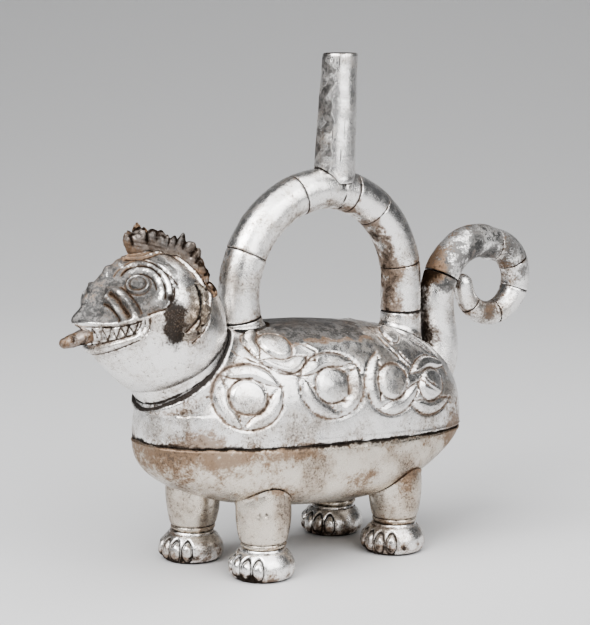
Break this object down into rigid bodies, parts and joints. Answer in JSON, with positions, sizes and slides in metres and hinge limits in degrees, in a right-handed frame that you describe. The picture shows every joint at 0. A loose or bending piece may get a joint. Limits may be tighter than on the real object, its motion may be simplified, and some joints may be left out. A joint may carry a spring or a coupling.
{
  "type": "stirrup spout vessel",
  "caption": "Hollow silver stirrup-spout vessel in the shape of a standing feline, with coat rosettes, a scalloped mane, a tongue stuck out and a spiral tail.",
  "frame": {"origin": "on the ground plane under the middle of the vessel's box", "axes": "the head looks along -X, the tail curls at +X, the spout rises along +Z"},
  "size_m": [0.2492, 0.072, 0.2186],
  "materials": {
    "bright_silver": "hammered sheet silver, polished, with dark tarnish in the hollows",
    "dull_silver": "hammered sheet silver, satin, warm and a little stained",
    "tarnished_silver": "brown tarnished sheet silver"
  },
  "bodies": {
    "root": {"body_upper_shell": "bright_silver", "body_lower_shell": "dull_silver", "head": "bright_silver", "tongue": "tarnished_silver", "crest": "tarnished_silver", "ear_left": "tarnished_silver", "ear_right": "tarnished_silver", "stirrup_leg_front": "bright_silver", "stirrup_bend_front": "bright_silver", "stirrup_crown_front": "bright_silver", "stirrup_crown_rear": "bright_silver", "stirrup_bend_rear": "bright_silver", "stirrup_leg_rear": "bright_silver", "stirrup_collar_front": "tarnished_silver", "stirrup_collar_rear": "tarnished_silver", "spout": "bright_silver", "tail_length_1": "bright_silver", "tail_length_2": "bright_silver", "tail_length_3": "bright_silver", "tail_length_4": "bright_silver", "tail_length_5": "bright_silver", "tail_length_6": "bright_silver", "tail_length_7": "bright_silver", "leg_front_left": "dull_silver", "paw_front_left": "bright_silver", "leg_front_right": "dull_silver", "paw_front_right": "bright_silver", "leg_rear_left": "dull_silver", "paw_rear_left": "bright_silver", "leg_rear_right": "dull_silver", "paw_rear_right": "bright_silver"}
  },
  "joints": []
}
